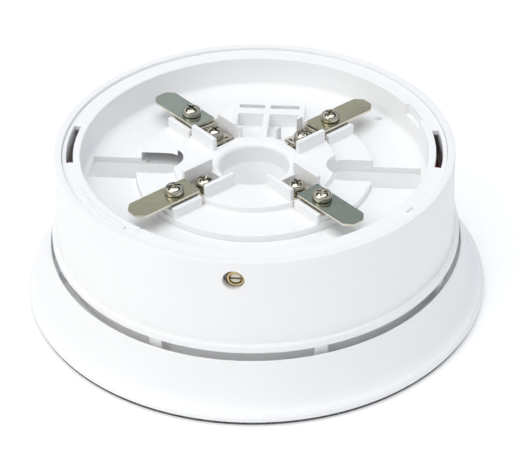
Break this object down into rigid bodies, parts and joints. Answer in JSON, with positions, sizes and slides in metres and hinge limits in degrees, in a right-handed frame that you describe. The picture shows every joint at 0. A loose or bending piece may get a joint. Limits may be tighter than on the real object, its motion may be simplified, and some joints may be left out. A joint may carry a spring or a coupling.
{
  "type": "detector base sounder",
  "caption": "Round deep mounting base for a fire detector head: flared skirt, drum, sprung contact leaves with screw terminals, and a sounder inside.",
  "frame": {"origin": "centre of the ceiling face, which the base rests on", "axes": "+Z out of the ceiling towards the detector head; the fixing slots lie along X; the lock screw faces -Y"},
  "size_m": [0.128, 0.128, 0.0442],
  "materials": {
    "white_plastic": "satin moulded",
    "spring_steel": "rolled and polished",
    "nickel_plate": "bright nickel",
    "screw_steel": "bright nickel",
    "brass": "turned",
    "red_laminate": "lacquered laminate",
    "black_plastic": "moulded",
    "red_plastic": "moulded",
    "ceramic": "silvered ceramic",
    "foam": "closed-cell foam"
  },
  "bodies": {
    "base": {"flared_skirt": "white_plastic", "drum_housing": "white_plastic", "deck_ring": "white_plastic", "terminal_block": "white_plastic", "cable_sleeve": "white_plastic", "well_sleeve_right": "white_plastic", "well_sleeve_left": "white_plastic", "leaf_root_1": "spring_steel", "terminal_bracket_1": "nickel_plate", "contact_screw_1": "screw_steel", "housing_screw_1": "screw_steel", "leaf_root_2": "spring_steel", "terminal_bracket_2": "nickel_plate", "contact_screw_2": "screw_steel", "housing_screw_2": "screw_steel", "leaf_root_3": "spring_steel", "terminal_bracket_3": "nickel_plate", "contact_screw_3": "screw_steel", "housing_screw_3": "screw_steel", "leaf_root_4": "spring_steel", "terminal_bracket_4": "nickel_plate", "contact_screw_4": "screw_steel", "housing_screw_4": "screw_steel", "lock_insert": "brass", "sounder_board": "red_laminate", "driver_chip": "black_plastic", "reservoir_capacitor": "black_plastic", "boost_inductor": "black_plastic", "selector_switch": "red_plastic", "resonator_cup": "black_plastic", "resonator_cap": "black_plastic", "piezo_plate": "brass", "piezo_wafer": "ceramic", "piezo_lead_live": "red_plastic", "piezo_lead_return": "black_plastic", "ceiling_gasket": "foam"},
    "leaf_1": {"contact_leaf_1": "spring_steel"},
    "clamp_1": {"clamp_plate_1": "nickel_plate"},
    "terminal_screw_1": {"terminal_screw_1": "screw_steel"},
    "leaf_2": {"contact_leaf_2": "spring_steel"},
    "clamp_2": {"clamp_plate_2": "nickel_plate"},
    "terminal_screw_2": {"terminal_screw_2": "screw_steel"},
    "leaf_3": {"contact_leaf_3": "spring_steel"},
    "clamp_3": {"clamp_plate_3": "nickel_plate"},
    "terminal_screw_3": {"terminal_screw_3": "screw_steel"},
    "leaf_4": {"contact_leaf_4": "spring_steel"},
    "clamp_4": {"clamp_plate_4": "nickel_plate"},
    "terminal_screw_4": {"terminal_screw_4": "screw_steel"},
    "lock_screw": {"lock_screw": "screw_steel"},
    "switch_1": {"switch_slider_1": "white_plastic"},
    "switch_2": {"switch_slider_2": "white_plastic"},
    "switch_3": {"switch_slider_3": "white_plastic"},
    "switch_4": {"switch_slider_4": "white_plastic"}
  },
  "joints": [
    {"name": "leaf_1_flex", "type": "hinge", "parent": "base", "child": "leaf_1", "pos_m": [0.02252, 0.02252, 0.04035], "axis": [-0.7071, 0.7071, 0], "range_deg": [0, 8], "stiffness_Nm_per_rad": 0.3},
    {"name": "clamp_1_lift", "type": "slide", "parent": "base", "child": "clamp_1", "axis": [0, 0, 1], "range_m": [0, 0.002]},
    {"name": "terminal_screw_1_turn", "type": "hinge", "parent": "clamp_1", "child": "terminal_screw_1", "pos_m": [0.01223, 0.01223, 0.0383], "axis": [0, 0, 1], "range_deg": [0, 1440]},
    {"name": "leaf_2_flex", "type": "hinge", "parent": "base", "child": "leaf_2", "pos_m": [-0.02252, 0.02252, 0.04035], "axis": [-0.7071, -0.7071, 0], "range_deg": [0, 8], "stiffness_Nm_per_rad": 0.3},
    {"name": "clamp_2_lift", "type": "slide", "parent": "base", "child": "clamp_2", "axis": [0, 0, 1], "range_m": [0, 0.002]},
    {"name": "terminal_screw_2_turn", "type": "hinge", "parent": "clamp_2", "child": "terminal_screw_2", "pos_m": [-0.01223, 0.01223, 0.0383], "axis": [0, 0, 1], "range_deg": [0, 1440]},
    {"name": "leaf_3_flex", "type": "hinge", "parent": "base", "child": "leaf_3", "pos_m": [-0.02252, -0.02252, 0.04035], "axis": [0.7071, -0.7071, 0], "range_deg": [0, 8], "stiffness_Nm_per_rad": 0.3},
    {"name": "clamp_3_lift", "type": "slide", "parent": "base", "child": "clamp_3", "axis": [0, 0, 1], "range_m": [0, 0.002]},
    {"name": "terminal_screw_3_turn", "type": "hinge", "parent": "clamp_3", "child": "terminal_screw_3", "pos_m": [-0.01223, -0.01223, 0.0383], "axis": [0, 0, 1], "range_deg": [0, 1440]},
    {"name": "leaf_4_flex", "type": "hinge", "parent": "base", "child": "leaf_4", "pos_m": [0.02252, -0.02252, 0.04035], "axis": [0.7071, 0.7071, 0], "range_deg": [0, 8], "stiffness_Nm_per_rad": 0.3},
    {"name": "clamp_4_lift", "type": "slide", "parent": "base", "child": "clamp_4", "axis": [0, 0, 1], "range_m": [0, 0.002]},
    {"name": "terminal_screw_4_turn", "type": "hinge", "parent": "clamp_4", "child": "terminal_screw_4", "pos_m": [0.01223, -0.01223, 0.0383], "axis": [0, 0, 1], "range_deg": [0, 1440]},
    {"name": "lock_screw_drive", "type": "slide", "parent": "base", "child": "lock_screw", "axis": [0, 1, 0], "range_m": [0, 0.0028]},
    {"name": "switch_1_slide", "type": "slide", "parent": "base", "child": "switch_1", "axis": [0, 1, 0], "range_m": [0, 0.0016]},
    {"name": "switch_2_slide", "type": "slide", "parent": "base", "child": "switch_2", "axis": [0, 1, 0], "range_m": [0, 0.0016]},
    {"name": "switch_3_slide", "type": "slide", "parent": "base", "child": "switch_3", "axis": [0, 1, 0], "range_m": [0, 0.0016]},
    {"name": "switch_4_slide", "type": "slide", "parent": "base", "child": "switch_4", "axis": [0, 1, 0], "range_m": [0, 0.0016]}
  ],
  "couplings": [
    {"joint": "terminal_screw_1_turn", "follows": "clamp_1_lift", "rad_per_m": 12565},
    {"joint": "terminal_screw_2_turn", "follows": "clamp_2_lift", "rad_per_m": 12565},
    {"joint": "terminal_screw_3_turn", "follows": "clamp_3_lift", "rad_per_m": 12565},
    {"joint": "terminal_screw_4_turn", "follows": "clamp_4_lift", "rad_per_m": 12565}
  ]
}
